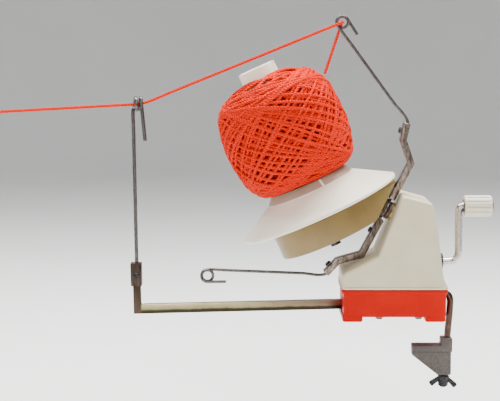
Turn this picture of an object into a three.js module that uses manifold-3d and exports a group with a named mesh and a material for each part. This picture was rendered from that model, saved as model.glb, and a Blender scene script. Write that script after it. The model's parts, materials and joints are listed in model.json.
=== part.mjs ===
// Table-clamped yarn ball winder, at rest with the flyer in the X-Z plane.
// Millimetres, +Z up, +X towards the crank. The origin is under the middle of the foot rail by the clamp.
import * as THREE from 'three';
import { mergeVertices } from 'three/addons/utils/BufferGeometryUtils.js';
import Module from 'manifold-3d';

const wasm = await Module();
wasm.setup();

// ---- driving dimensions -------------------------------------------------------------------------
const RAD = Math.PI / 180;
const GAP = 0.3;                    // clearance between neighbouring pieces
const HALF_DEPTH = 30;              // base and cover, half their size along Y
const WALL = 2;

const TRAY = { left: -74, right: 9.8, floor: 4, top: 22.4 };
const LIP = { top: 25.8, out: 1.4 };
const FOOT = { width: 16, left: -65.4, inset: 2 };

const FLYER_TILT = 28 * RAD;        // flyer axis above horizontal
const BOBBIN_LEAN = 24.6 * RAD;     // bobbin axis from vertical
const CENTRE = { x: -107.2, z: 124 };   // the flyer and bobbin axes meet here
const HUB_BACK = 78.7;              // flyer hub, measured back from CENTRE along the flyer axis
const SPINDLE_DOWN = 69.3;          // spindle foot, measured down from CENTRE along the bobbin axis

const CRANK_Z = 44.8;
const CRANK_ROD_R = 3;
const CRANK_ARM_X = 20.8;
const CRANK_THROW = 44.5;
const [LOWER_BEND, UPPER_BEND] = [6.5, 4];
const KNOB = { from: 25.1, to: 46.9, r: 8.5, bore: 3.4, flutes: 12 };

const DRIVE = { teeth: 48, cone: 21.1 * RAD, back: 62, face: 8 };
const DRIVEN = { teeth: 16, cone: 6.9 * RAD, face: 5.4 };
const FRONT = { teeth: 12, cone: 6.02 * RAD, face: 6 };
const BOBBIN = { teeth: 60, cone: 31.38 * RAD, back: 58, face: 5.1 };

const FLYER_SHAFT = { r: 4.2, bore: 2.8, from: -29.8, to: 17.4 };
const INNER_SHAFT_R = 2.5;
const CHANNEL = { front: 2.6, depth: 5.4, web: 1.2, halfWidth: 5, start: 9 };
const ARM_BENDS = [[2.6, 40], [16.8, 53.6], [20.6, 67.7]];   // web's front face: along and across the axis
const EYE = { along: 101, across: 114.5, r: 4.6, turns: 1.5 };
const WIRE_R = 1.2;
const ARM_SCREW_ACROSS = 20.6;

const CASE = { floor: 4.6, lid: 25.4, top: 27.4, r: 43, reach: 57, nose: 17, cut: 5 };
const CONE = { r: 66, rim: 28, rimTop: 31.2, neck: 36.5, neckZ: 47.5, hub: 31.5, hubZ: 54, wall: 2.6 };
const TUBE = { r0: 17.4, r1: 15.2, from: 54.6, to: 152.5, wall: 1.8 };
const SPINDLE_R = 4;
const SPINDLE_NUT = { r: 4.8, low: -3, high: 4.3 };

const BAR = { depth: 7.3, halfWidth: 4, droop: 1.4 * RAD, inX: -46, outX: -239.8, wall: 1.3, rise: 40.6 };
const GUIDE_EYE = { x: -239, z: 170.6, r: 5 };
const GUIDE_WIRE_R = 1.5;

const CLAMP_LEAN = 4.5 * RAD;
const CLAMP = { topX: 15, topZ: 12, rodR: 2.7, exitZ: 18.4, end: -70 };
// block, arm and bottom are heights down the leaning rod; the rest are upright, as the jaw is.
const JAW = {
  block: -29, arm: -34.8, bottom: -59.5, left: -15.9, right: 16.2, post: 7.2, halfWidth: 7, plate: 5.4,
};

const YARN_R = 1.2;

// ---- materials ----------------------------------------------------------------------------------
const finish = (color, roughness, metalness = 0) => ({ color, roughness, metalness });
const ORANGE = finish(0xd8330c, 0.4);
const CREAM = finish(0xd9d3c2, 0.45);
const WHITE = finish(0xece9de, 0.4);
const CASE_CREAM = finish(0xd8c98a, 0.45);
const NICKEL = finish(0xb9b4ac, 0.22, 1);
const DARK_STEEL = finish(0x4a4540, 0.4, 1);
const BLACK = finish(0x1c1c1c, 0.45, 0.6);
const ZINC = finish(0x8f8355, 0.3, 1);
const CAST = finish(0x88817c, 0.6, 0.8);
const BRASS = finish(0xb8923c, 0.35, 1);
const NYLON = finish(0xe8e4d4, 0.5);
const YARN = finish(0xe8400f, 0.95);

// ---- solids -------------------------------------------------------------------------------------
function toSolid(geometry) {
  const bare = geometry.clone();
  bare.deleteAttribute('normal');
  bare.deleteAttribute('uv');
  const merged = mergeVertices(bare, 1e-4);
  const index = Array.from(merged.index.array);
  const kept = [];
  for (let i = 0; i < index.length; i += 3) {
    const [a, b, c] = index.slice(i, i + 3);
    if (a !== b && b !== c && c !== a) kept.push(a, b, c);
  }
  const vertProperties = new Float32Array(merged.attributes.position.array);
  const asSolid = (tris) =>
    new wasm.Manifold(new wasm.Mesh({ numProp: 3, vertProperties, triVerts: new Uint32Array(tris) }));
  const solid = asSolid(kept);
  if (solid.volume() >= 0) return solid;
  const flipped = [];
  for (let i = 0; i < kept.length; i += 3) flipped.push(kept[i], kept[i + 2], kept[i + 1]);
  return asSolid(flipped);
}

function toGeometry(solid) {
  const mesh = solid.getMesh();
  const geometry = new THREE.BufferGeometry();
  geometry.setAttribute('position', new THREE.BufferAttribute(new Float32Array(mesh.vertProperties), 3));
  geometry.setIndex(new THREE.BufferAttribute(new Uint32Array(mesh.triVerts), 1));
  geometry.computeVertexNormals();
  return geometry;
}

const cut = (body, ...tools) =>
  toGeometry(tools.reduce((rest, tool) => rest.subtract(toSolid(tool)), toSolid(body)));
const join = (body, ...others) =>
  toGeometry(others.reduce((sum, other) => sum.add(toSolid(other)), toSolid(body)));

const box = (x0, x1, y0, y1, z0, z1) =>
  new THREE.BoxGeometry(x1 - x0, y1 - y0, z1 - z0)
    .translate((x0 + x1) / 2, (y0 + y1) / 2, (z0 + z1) / 2);

// A cylinder or cone frustum along Z, from z0 to z1.
const round = (r0, z0, z1, sides = 16, r1 = r0) =>
  new THREE.CylinderGeometry(r1, r0, z1 - z0, sides).rotateX(Math.PI / 2).translate(0, 0, (z0 + z1) / 2);

// A profile of [radius, height] points turned about Z.
function turned(points, sides = 24) {
  const profile = points.map(([r, z]) => new THREE.Vector2(r, z));
  return new THREE.LatheGeometry(profile, sides).rotateX(Math.PI / 2);
}

const ring = (r0, r1, z0, z1, sides = 16) =>
  turned([[r0, z0], [r1, z0], [r1, z1], [r0, z1], [r0, z0]], sides);

// An outline of [x, z] points, extruded along Y between y0 and y1.
function slab(outline, y0, y1) {
  const shape = new THREE.Shape(outline.map(([x, z]) => new THREE.Vector2(x, z)));
  return new THREE.ExtrudeGeometry(shape, { depth: y1 - y0, bevelEnabled: false })
    .rotateX(Math.PI / 2).translate(0, y1, 0);
}

// Points on rounded corners: each corner is [x, z, radius].
function rounded(corners, steps = 3) {
  const points = [];
  corners.forEach(([x, z, r = 0], i) => {
    const [ax, az] = corners[(i + corners.length - 1) % corners.length];
    const [bx, bz] = corners[(i + 1) % corners.length];
    const here = new THREE.Vector2(x, z);
    const back = new THREE.Vector2(ax, az).sub(here).normalize();
    const ahead = new THREE.Vector2(bx, bz).sub(here).normalize();
    if (r === 0) {
      points.push([x, z]);
      return;
    }
    const half = Math.acos(THREE.MathUtils.clamp(back.dot(ahead), -1, 1)) / 2;
    const reach = r / Math.tan(half);
    const from = here.clone().addScaledVector(back, reach);
    const to = here.clone().addScaledVector(ahead, reach);
    const curve = new THREE.QuadraticBezierCurve(from, here, to);
    curve.getPoints(steps).forEach((p) => points.push([p.x, p.y]));
  });
  return points;
}

// Corners moved outwards by `by` (negative moves them in), with their radii to match.
function grown(corners, by) {
  const n = corners.length;
  return corners.map(([x, z, r = 0], i) => {
    const prev = corners[(i + n - 1) % n];
    const next = corners[(i + 1) % n];
    const d0 = new THREE.Vector2(x - prev[0], z - prev[1]).normalize();
    const d1 = new THREE.Vector2(next[0] - x, next[1] - z).normalize();
    const normal = new THREE.Vector2(d0.y + d1.y, -d0.x - d1.x).normalize();
    const scale = by / Math.max(0.3, normal.x * d0.y - normal.y * d0.x);
    return [x + normal.x * scale, z + normal.y * scale, Math.max(0, r + by)];
  });
}

// A round wire of radius r along a smooth curve through the points.
function wire(points, r, steps, sides = 6) {
  const path = new THREE.CatmullRomCurve3(points, false, 'centripetal');
  const section = new THREE.Shape();
  for (let i = 0; i < sides; i += 1) {
    const angle = (2 * Math.PI * i) / sides;
    const [x, y] = [r * Math.cos(angle), r * Math.sin(angle)];
    if (i === 0) section.moveTo(x, y);
    else section.lineTo(x, y);
  }
  section.closePath();
  return new THREE.ExtrudeGeometry(section, { steps, extrudePath: path, curveSegments: 1 });
}

const at = (x, y, z) => new THREE.Vector3(x, y, z);

// A straight-toothed bevel gear. Its large end is at z = 0 and its teeth run up towards the apex.
function bevelGear({ teeth, cone, face }, apex, bore, phase) {
  const pitch = apex * Math.tan(cone);
  const module = (2 * pitch) / teeth;
  const tip = pitch + 0.8 * module;
  const root = pitch - 1.05 * module;
  const outline = new THREE.Shape();
  for (let i = 0; i < teeth; i += 1) {
    const mid = ((i + phase) * 2 * Math.PI) / teeth;
    const corner = [[root, -0.31], [tip, -0.13], [tip, 0.13], [root, 0.31]];
    corner.forEach(([radius, side], k) => {
      const angle = mid + (side * 2 * Math.PI) / teeth;
      const [x, y] = [radius * Math.cos(angle), radius * Math.sin(angle)];
      if (i === 0 && k === 0) outline.moveTo(x, y);
      else outline.lineTo(x, y);
    });
  }
  outline.closePath();
  const blank = new THREE.ExtrudeGeometry(outline, { depth: face, bevelEnabled: false });
  const spots = blank.attributes.position;
  for (let i = 0; i < spots.count; i += 1) {
    const shrink = (apex - spots.getZ(i)) / apex;
    spots.setXY(i, spots.getX(i) * shrink, spots.getY(i) * shrink);
  }
  return cut(blank, round(bore, -1, face + 1));
}

// A pan-headed screw along Z: head from 0 up to headHeight, shank down to -length.
function screw(headR, headHeight, shankR, length, sides = 8) {
  return turned([
    [0, -length], [shankR, -length], [shankR, 0], [headR, 0], [headR, headHeight * 0.6],
    [headR * 0.75, headHeight], [0, headHeight],
  ], sides);
}

// A hexagon nut along Z with a round bore.
const hexNut = (bore, r, z0, z1) => cut(round(r, z0, z1, 6), round(bore, z0 - 1, z1 + 1, 16));

// ---- the tree -----------------------------------------------------------------------------------
const group = new THREE.Group();

function frame(x, z, tilt = 0) {
  const node = new THREE.Group();
  node.position.set(x, 0, z);
  node.rotation.y = tilt;
  group.add(node);
  return node;
}

function part(parent, name, geometry, look) {
  const mesh = new THREE.Mesh(geometry, new THREE.MeshStandardMaterial(look));
  mesh.name = name;
  parent.add(mesh);
  return mesh;
}

// Flyer frame: z along the flyer axis, x across it, origin at the hub.
const along = { x: -Math.cos(FLYER_TILT), z: Math.sin(FLYER_TILT) };
const across = { x: Math.sin(FLYER_TILT), z: Math.cos(FLYER_TILT) };
const HUB = { x: CENTRE.x - HUB_BACK * along.x, z: CENTRE.z - HUB_BACK * along.z };
const flyer = frame(HUB.x, HUB.z, FLYER_TILT - Math.PI / 2);

// Bobbin frame: z up the bobbin axis, x out towards the hub, origin at the spindle's foot.
const up = { x: -Math.sin(BOBBIN_LEAN), z: Math.cos(BOBBIN_LEAN) };
const FOOT_OF_SPINDLE = { x: CENTRE.x - SPINDLE_DOWN * up.x, z: CENTRE.z - SPINDLE_DOWN * up.z };
const bobbin = frame(FOOT_OF_SPINDLE.x, FOOT_OF_SPINDLE.z, -BOBBIN_LEAN);

// Crank frame: z along +X, origin on the crank axis above the frame's origin.
const crank = frame(0, CRANK_Z, Math.PI / 2);

// Clamp frame: z up the leaning rod, origin where the rod turns down.
const clamp = frame(CLAMP.topX, CLAMP.topZ, CLAMP_LEAN);

// A point of the whole object, seen from one of the tilted frames.
const seenFrom = (node, x, y, z) => {
  node.updateMatrixWorld();
  return node.worldToLocal(at(x, y, z));
};
const seenOutside = (node, x, y, z) => {
  node.updateMatrixWorld();
  return node.localToWorld(at(x, y, z));
};
// A shape made in a tilted frame, moved to the whole object's frame.
const outOf = (node, geometry) => {
  node.updateMatrixWorld();
  return geometry.applyMatrix4(node.matrixWorld);
};
// A shape made in the whole object's frame, moved into a tilted frame.
const into = (node, geometry) => {
  node.updateMatrixWorld();
  return geometry.applyMatrix4(node.matrixWorld.clone().invert());
};

// ---- base ---------------------------------------------------------------------------------------
const BAR_HOLE_X = TRAY.left + 20;
const COVER_SCREWS = [-44, -13];
const POST_Y = 22;

function baseTray() {
  const { left, right, floor, top } = TRAY;
  const plan = (grow, z0, z1) => {
    const [l, r, d] = [left - grow, right + grow, HALF_DEPTH + grow];
    const corner = 4 + grow;
    const outline = rounded([[l, -d, corner], [r, -d, corner], [r, d, corner], [l, d, corner]]);
    const shape = new THREE.Shape(outline.map(([x, y]) => new THREE.Vector2(x, y)));
    return new THREE.ExtrudeGeometry(shape, { depth: z1 - z0, bevelEnabled: false }).translate(0, 0, z0);
  };
  const depth = HALF_DEPTH - FOOT.inset;
  const rail = (x) => box(x - FOOT.width / 2, x + FOOT.width / 2, -depth, depth, 0, floor + 1);
  const body = join(plan(-LIP.out, floor, top), plan(0, top, LIP.top), rail(0), rail(FOOT.left));
  const spots = COVER_SCREWS.flatMap((x) => [[x, -POST_Y], [x, POST_Y]]);
  const posts = spots.map(([x, y]) => round(3.4, floor + 1, top + 2, 10).translate(x, y, 0));
  const holes = spots.map(([x, y]) => round(1.6, 0, top + 5, 8).translate(x, y, 0));
  const barSlot = outOf(bar, box(-60, 24, -BAR.halfWidth - GAP, BAR.halfWidth + GAP, -GAP, BAR.depth + GAP));
  const rodHole = new THREE.CylinderGeometry(CLAMP.rodR + GAP, CLAMP.rodR + GAP, 14, 16)
    .rotateZ(Math.PI / 2).translate(right, 0, CLAMP.exitZ);
  const hollow = cut(body, plan(-LIP.out - WALL, floor + WALL, top + 10));
  return cut(join(hollow, ...posts), ...holes, barSlot, rodHole,
    round(1.9, 0, 9, 12).translate(BAR_HOLE_X, 0, 0));
}

// ---- guide bar: z up in its own drooping frame --------------------------------------------------
const bar = frame(TRAY.left, 4 + WALL + GAP + 0.2, -BAR.droop);
const BAR_END = seenFrom(bar, BAR.outX, 0, 4).x;
const BAR_IN = seenFrom(bar, BAR.inX, 0, 8).x;

function guideBar() {
  const { depth, halfWidth, wall, rise } = BAR;
  const flat = box(BAR_END, BAR_IN, -halfWidth, halfWidth, 0, depth);
  const upright = box(BAR_END, BAR_END + 6, -halfWidth, halfWidth, 0, rise);
  const trough = box(BAR_END + 6, BAR_IN + 1, -halfWidth + wall, halfWidth - wall, -1, depth - wall);
  const slot = box(BAR_END + wall, BAR_END + 8, -halfWidth + wall, halfWidth - wall, -1, rise + 1);
  const hole = round(1.9, -1, depth + 1, 12).translate(BAR_HOLE_X - TRAY.left, 0, 0);
  return cut(join(flat, upright), trough, slot, hole);
}

// ---- cover --------------------------------------------------------------------------------------
const COVER_CORNERS = [
  [-73.6, 26.1], [9.2, 26.1], [8.8, 29], [6, 35.2, 6], [0.6, 77, 12], [-3.2, 94, 3.5],
  [-26.2, 100.2, 3], [-45.4, 52.8, 4], [-73.6, 38.6, 4],
];

function housingCover() {
  const half = HALF_DEPTH - 0.6;
  const inside = half - WALL;
  const outer = slab(rounded(COVER_CORNERS), -half, half);
  const inner = slab(rounded(grown(COVER_CORNERS, -WALL)), -inside, inside);
  const mouth = box(-71.6, 7, -inside, inside, 20, 30);
  const crankHole = new THREE.CylinderGeometry(5.3, 5.3, 30, 24).rotateZ(Math.PI / 2)
    .translate(4, 0, CRANK_Z);
  const flyerHole = outOf(flyer, round(7.3, -20, 6, 24));
  return cut(outer, inner, mouth, crankHole, flyerHole);
}

part(group, 'base_tray', baseTray(), ORANGE);
part(group, 'housing_cover', housingCover(), CREAM);

const coverScrew = (x, y) => screw(3, 2, 1.3, 12).rotateX(Math.PI).translate(x, y, 3.7);
COVER_SCREWS.forEach((x, row) => {
  part(group, `cover_screw_near_${row + 1}`, coverScrew(x, -POST_Y), DARK_STEEL);
  part(group, `cover_screw_far_${row + 1}`, coverScrew(x, POST_Y), DARK_STEEL);
});

// ---- frame plates and bushes inside the cover ---------------------------------------------------
const INNER_PLATE_X = -28;
const OUTER_PLATE_X = -8;
const PLATE_T = 2;

function plate(x, top, foot) {
  const upright = box(x - PLATE_T / 2, x + PLATE_T / 2, -13, 13, 6 + GAP, top);
  const flange = box(Math.min(x, x + foot), Math.max(x, x + foot), -13, 13, 6 + GAP, 6 + GAP + PLATE_T);
  const shaftHole = new THREE.CylinderGeometry(5.3, 5.3, 8, 20).rotateZ(Math.PI / 2)
    .translate(x, 0, CRANK_Z);
  return cut(join(upright, flange), shaftHole);
}

part(group, 'inner_plate', plate(INNER_PLATE_X, 58, -9), DARK_STEEL);
const anchorHole = outOf(flyer, round(INNER_SHAFT_R + GAP, -60, -20, 16));
part(group, 'outer_plate', cut(plate(OUTER_PLATE_X, 78, 9), anchorHole), DARK_STEEL);

const BUSH_BORE = CRANK_ROD_R + 0.1 + GAP;
const BUSH_R = 5;
part(crank, 'inner_bush', ring(BUSH_BORE, BUSH_R, INNER_PLATE_X - 3, INNER_PLATE_X + 3, 20), BRASS);
part(crank, 'outer_bush', ring(BUSH_BORE, BUSH_R, OUTER_PLATE_X - 2.5, OUTER_PLATE_X + 3, 20), BRASS);
part(crank, 'crank_bush', turned([
  [BUSH_BORE, -1.5], [BUSH_R, -1.5], [BUSH_R, 6.6], [6.6, 6.6], [6.2, 8.2], [BUSH_BORE, 8.2],
  [BUSH_BORE, -1.5],
], 24), BLACK);
part(flyer, 'flyer_bush', turned([
  [FLYER_SHAFT.r + 0.4, -14], [7, -14], [7, -4.4], [FLYER_SHAFT.r + 0.4, -4.4], [FLYER_SHAFT.r + 0.4, -14],
], 24), BRASS);

// ---- crank --------------------------------------------------------------------------------------
const apexX = HUB.x - along.x * ((HUB.z - CRANK_Z) / along.z);
const GEAR_X = apexX - DRIVE.back;
const PIN_R = 1;
const PIN_BACK = 2.4;
// The pin through the gear's hub and the rod, reaching `reach` to each side of the rod's middle.
const crossPin = (r, reach) => new THREE.CylinderGeometry(r, r, 2 * reach, 12)
  .translate(0, 0, GEAR_X - PIN_BACK);

function crankRod() {
  const [x, z] = [CRANK_ARM_X, CRANK_THROW];
  const arc = (cx, cz, r, from, sweep) => [0, 0.25, 0.5, 0.75, 1].map((t) => {
    const angle = from + t * sweep;
    return [cx + r * Math.cos(angle), cz + r * Math.sin(angle)];
  });
  const quarter = Math.PI / 2;
  const lower = arc(x - LOWER_BEND, LOWER_BEND, LOWER_BEND, -quarter, quarter);
  const upper = arc(x + UPPER_BEND, z - UPPER_BEND, UPPER_BEND, Math.PI, -quarter);
  const route = [[INNER_PLATE_X - 6, 0], [-20, 0], [0, 0], ...lower, [x, z / 2], ...upper,
    [KNOB.from + 8, z], [KNOB.to + 1.4, z]];
  const rod = wire(route.map(([px, pz]) => at(px, 0, pz + CRANK_Z)), CRANK_ROD_R, 36, 8);
  return cut(rod, outOf(crank, crossPin(PIN_R + GAP, CRANK_ROD_R + 2)));
}

part(group, 'crank_rod', crankRod(), NICKEL);
const driveGear = bevelGear(DRIVE, DRIVE.back, CRANK_ROD_R + GAP, 0);
const gearMesh = part(crank, 'drive_gear', cut(
  join(driveGear, ring(CRANK_ROD_R + GAP, 8, -4.5, 1)),
  crossPin(PIN_R + GAP, 20).translate(0, 0, -GEAR_X),
  ...[0, 1, 2, 3].map((i) =>
    round(4.4, -6, 12, 8).translate(14.5, 0, 0).rotateZ((i + 0.5) * 90 * RAD)),
), NYLON);
gearMesh.position.z = GEAR_X;

part(crank, 'gear_pin', crossPin(PIN_R, 7.6), DARK_STEEL);

// ---- handle -------------------------------------------------------------------------------------
function knob() {
  const { from, to, r, bore, flutes } = KNOB;
  const body = turned([
    [bore, from], [r - 1, from], [r, from + 1], [r, to - 1.2], [r - 1.4, to], [bore, to], [bore, from],
  ], 36);
  const grooves = Array.from({ length: flutes }, (_, i) =>
    new THREE.CylinderGeometry(0.8, 0.8, 18, 6).rotateX(Math.PI / 2)
      .translate(r + 0.25, 0, (from + to) / 2).rotateZ((i * 2 * Math.PI) / flutes));
  return cut(body, ...grooves);
}

const handle = frame(0, CRANK_Z + CRANK_THROW, Math.PI / 2);
part(handle, 'crank_handle', knob(), WHITE);
part(handle, 'handle_retainer', ring(CRANK_ROD_R + GAP, 4.6, KNOB.to + GAP, KNOB.to + 1.2), DARK_STEEL);
const washer = ring(CRANK_ROD_R + GAP, 5.4, KNOB.from - 0.9, KNOB.from - GAP, 20);
part(handle, 'handle_washer', washer, DARK_STEEL);

// ---- flyer --------------------------------------------------------------------------------------
part(flyer, 'flyer_shaft', ring(FLYER_SHAFT.bore, FLYER_SHAFT.r, FLYER_SHAFT.from, FLYER_SHAFT.to), NICKEL);

const flyerApexBack = (HUB.z - CRANK_Z) / along.z;
const drivenBack = (DRIVE.back / Math.cos(DRIVE.cone)) * Math.cos(DRIVEN.cone);
const driven = part(flyer, 'drive_pinion',
  bevelGear(DRIVEN, drivenBack, FLYER_SHAFT.r + GAP, 0.5).rotateX(Math.PI), NYLON);
driven.position.z = -flyerApexBack + drivenBack;

function flyerHub() {
  const ridges = Array.from({ length: 3 }, (_, i) => i);
  const profile = [[FLYER_SHAFT.r + GAP, -4], [6.6, -4]];
  ridges.forEach((i) => {
    const z = -4 + i;
    profile.push([7.4, z + 0.1], [7.4, z + 0.6], [6.6, z + 0.8]);
  });
  profile.push([6.6, -0.7], [FLYER_SHAFT.r + GAP, -0.7], [FLYER_SHAFT.r + GAP, -4]);
  return turned(profile, 16);
}
part(flyer, 'flyer_hub', flyerHub(), DARK_STEEL);

// The arm's front line, run on past both ends by `extra` and moved back by `back`.
function armLine(back, extra = 0) {
  const line = [[CHANNEL.front, CHANNEL.start], ...ARM_BENDS].map(([s, v]) => new THREE.Vector2(s, v));
  const last = line.length - 1;
  const stretch = (end, inner) => end.add(end.clone().sub(inner).setLength(extra));
  if (extra > 0) {
    stretch(line[0], line[1]);
    stretch(line[last], line[last - 1]);
  }
  return line.map((point, i) => {
    const arriving = (i > 0 ? point.clone().sub(line[i - 1]) : line[1].clone().sub(point)).normalize();
    const leaving = (i < last ? line[i + 1].clone().sub(point) : arriving.clone()).normalize();
    const middle = arriving.clone().add(leaving).normalize();
    const rearward = new THREE.Vector2(-middle.y, middle.x);
    const squareOn = rearward.dot(new THREE.Vector2(-arriving.y, arriving.x));
    return point.clone().addScaledVector(rearward, back / squareOn);
  });
}

function armGeometry() {
  const { depth, web, halfWidth } = CHANNEL;
  const side = (a, b, half) => slab([...a, ...b.reverse()].map((p) => [p.y, p.x]), -half, half);
  const shell = side(armLine(0), armLine(depth), halfWidth);
  const pocket = side(armLine(web, 1), armLine(depth + 2, 1), halfWidth - web);
  const screwHole = round(1.6, -10, 10, 12).translate(ARM_SCREW_ACROSS, 0, 0);
  return cut(shell, pocket, screwHole);
}

// The crossbar is a flat strip in the channels' backs, slotted over the shaft.
part(flyer, 'flyer_crossbar', cut(
  join(box(-30, 30, -3.4, 3.4, -0.4, 1.1), round(8.2, -0.4, 1.1, 32)),
  round(FLYER_SHAFT.r + GAP, -3, 3, 24),
  ...[-1, 1].map((side) => round(1.6, -3, 3, 12).translate(side * ARM_SCREW_ACROSS, 0, 0)),
), NICKEL);
part(flyer, 'flyer_arm_upper', armGeometry(), NICKEL);
part(flyer, 'flyer_arm_lower', armGeometry(), NICKEL).rotation.z = Math.PI;

// A collar holds the channels' inner ends to the shaft.
part(flyer, 'hub_collar', turned([
  [FLYER_SHAFT.r + GAP, 1.4], [8.4, 1.4], [8.4, 2.6], [6.4, 4.2], [FLYER_SHAFT.r + GAP, 4.2],
  [FLYER_SHAFT.r + GAP, 1.4],
], 24), DARK_STEEL);

// Arm wire: from inside the channel's end out to the eye, then a coil about Y and a short tail.
function flyerWire() {
  const { along: s, across: v, r, turns } = EYE;
  const startS = ARM_BENDS[1][0] - 4.4;
  const startV = ARM_BENDS[1][1] + 1.4;
  const kneeS = ARM_BENDS[2][0] - 2.9;
  const kneeV = ARM_BENDS[2][1] + 1.5;
  const heading = Math.atan2(v - kneeV, s - kneeS);
  // The coil's centre is one radius to the outer side of the wire's line.
  const centre = [s, v];
  const side = heading + Math.PI / 2;
  const entry = [s - r * Math.cos(side), v - r * Math.sin(side)];
  const points = [at(startV, 0, startS), at(kneeV, 0, kneeS)];
  const straight = 5;
  for (let i = 1; i < straight; i += 1) {
    const t = i / straight;
    points.push(at(kneeV + (entry[1] - kneeV) * t, 0, kneeS + (entry[0] - kneeS) * t));
  }
  const steps = 18;
  for (let i = 0; i <= steps; i += 1) {
    const t = i / steps;
    const angle = side + Math.PI + t * turns * 2 * Math.PI;
    const y = 1.35 * 2 * WIRE_R * t * turns;
    points.push(at(centre[1] + r * Math.sin(angle), y, centre[0] + r * Math.cos(angle)));
  }
  const tail = 15;
  const last = points[points.length - 1];
  for (let i = 1; i <= 3; i += 1) {
    const reach = (tail * i) / 3;
    points.push(at(last.x - reach * Math.sin(heading), last.y, last.z - reach * Math.cos(heading)));
  }
  return wire(points, WIRE_R, 64, 6);
}
part(flyer, 'flyer_wire_upper', flyerWire(), NICKEL);
part(flyer, 'flyer_wire_lower', flyerWire(), NICKEL).rotation.z = Math.PI;

const ARM_SIDES = [['upper', 1], ['lower', -1]];
ARM_SIDES.forEach(([side, sign]) => {
  const armScrew = screw(2.4, 1.7, 1.3, 5.2).translate(sign * ARM_SCREW_ACROSS, 0, CHANNEL.front + GAP);
  part(flyer, `arm_screw_${side}`, armScrew, BLACK);
  const nut = hexNut(1.6, 2.9, -2.6, -0.8).translate(sign * ARM_SCREW_ACROSS, 0, 0);
  part(flyer, `arm_nut_${side}`, nut, DARK_STEEL);
});

// A clamp screw on each arm's end presses the wire into the channel.
ARM_SIDES.forEach(([side, sign]) => {
  const slope = Math.atan2(ARM_BENDS[2][0] - ARM_BENDS[1][0], ARM_BENDS[2][1] - ARM_BENDS[1][1]);
  const mid = [(ARM_BENDS[1][0] + ARM_BENDS[2][0]) / 2, (ARM_BENDS[1][1] + ARM_BENDS[2][1]) / 2];
  const head = turned([[0, 0], [2.6, 0], [2.6, 1.3], [1.9, 2], [0, 2]], 12)
    .rotateY(-slope).translate(mid[1] + 0.2, 0, mid[0] + 0.6);
  part(flyer, `wire_clamp_${side}`, head, BLACK).rotation.z = sign > 0 ? 0 : Math.PI;
});

const frontBack = (BOBBIN.back / Math.cos(BOBBIN.cone)) * Math.cos(FRONT.cone);
const frontPinion = part(flyer, 'bobbin_pinion',
  bevelGear(FRONT, frontBack, FLYER_SHAFT.r + GAP, 0), NYLON);
frontPinion.position.z = HUB_BACK - frontBack;

// ---- fixed shaft, gear case and spindle ---------------------------------------------------------
const SHAFT_END = 22.4;
part(flyer, 'inner_shaft', round(INNER_SHAFT_R, -39.4, SHAFT_END, 20), NICKEL);
const anchorNut = hexNut(INNER_SHAFT_R + GAP, 4.2, -38.7, -37.3);
part(flyer, 'shaft_nut', anchorNut, DARK_STEEL);

// The case's plan, seen down the bobbin axis: a round end and a straight-sided nose towards the hub.
function casePlan(shrink, z0, z1) {
  const r = CASE.r - shrink;
  const nose = CASE.nose - shrink;
  const shape = new THREE.Shape();
  const meet = Math.atan2(nose, CASE.reach - 22);
  shape.moveTo(CASE.reach - shrink + 6, nose);
  shape.lineTo(CASE.reach - shrink - 18, nose + 8);
  shape.absarc(0, 0, r, meet + 0.42, 2 * Math.PI - meet - 0.42, false);
  shape.lineTo(CASE.reach - shrink - 18, -nose - 8);
  shape.lineTo(CASE.reach - shrink + 6, -nose);
  shape.closePath();
  return new THREE.ExtrudeGeometry(shape, { depth: z1 - z0, bevelEnabled: false, curveSegments: 24 })
    .translate(0, 0, z0);
}
// Everything behind the plane `s` along the flyer axis, as one block in the bobbin's frame.
const behind = (s) => into(bobbin, outOf(flyer, box(-90, 90, -60, 60, s - 120, s)));
const flyerHoleAt = (r, s0, s1) => into(bobbin, outOf(flyer, round(r, s0, s1, 20)));

part(bobbin, 'gear_case', cut(
  casePlan(0, CASE.floor, CASE.lid - GAP), behind(CASE.cut),
  toGeometry(toSolid(casePlan(WALL, CASE.floor + WALL, CASE.lid + 5)).subtract(
    toSolid(behind(CASE.cut + WALL)))),
  flyerHoleAt(FLYER_SHAFT.r + 0.6, -2, 12), round(SPINDLE_R - 1 + GAP, -4, CASE.floor + 6, 20),
), CASE_CREAM);

const lidBlock = into(bobbin, outOf(flyer, box(-3.4, 14, -5, 5, 18.2, 23.4)));
const lidSlab = casePlan(0, CASE.lid, CASE.top);
part(bobbin, 'case_lid', cut(
  join(lidSlab, toGeometry(toSolid(lidBlock).intersect(toSolid(round(60, 10, CASE.top))))),
  behind(CASE.cut), flyerHoleAt(INNER_SHAFT_R + GAP, 10, SHAFT_END + GAP), round(11.2, 10, 40, 24),
), CASE_CREAM);

const CLIP_BORE = 3.6;
const SEAT = CASE.floor + WALL + GAP;
part(bobbin, 'spindle', turned([
  [0, SPINDLE_NUT.low + 0.4], [SPINDLE_R - 1, SPINDLE_NUT.low + 0.4], [SPINDLE_R - 1, SEAT],
  [7, SEAT], [7, SEAT + 1.1], [SPINDLE_R, SEAT + 1.1],
  [SPINDLE_R, 66.4], [CLIP_BORE - GAP, 66.4], [CLIP_BORE - GAP, 67.8], [SPINDLE_R, 67.8],
  [SPINDLE_R - 0.6, 69.4], [0, 69.4],
], 16), NICKEL);
const spindleNut = hexNut(SPINDLE_R - 1 + GAP, SPINDLE_NUT.r, SPINDLE_NUT.low, SPINDLE_NUT.high);
part(bobbin, 'spindle_nut', spindleNut, BLACK);

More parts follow.
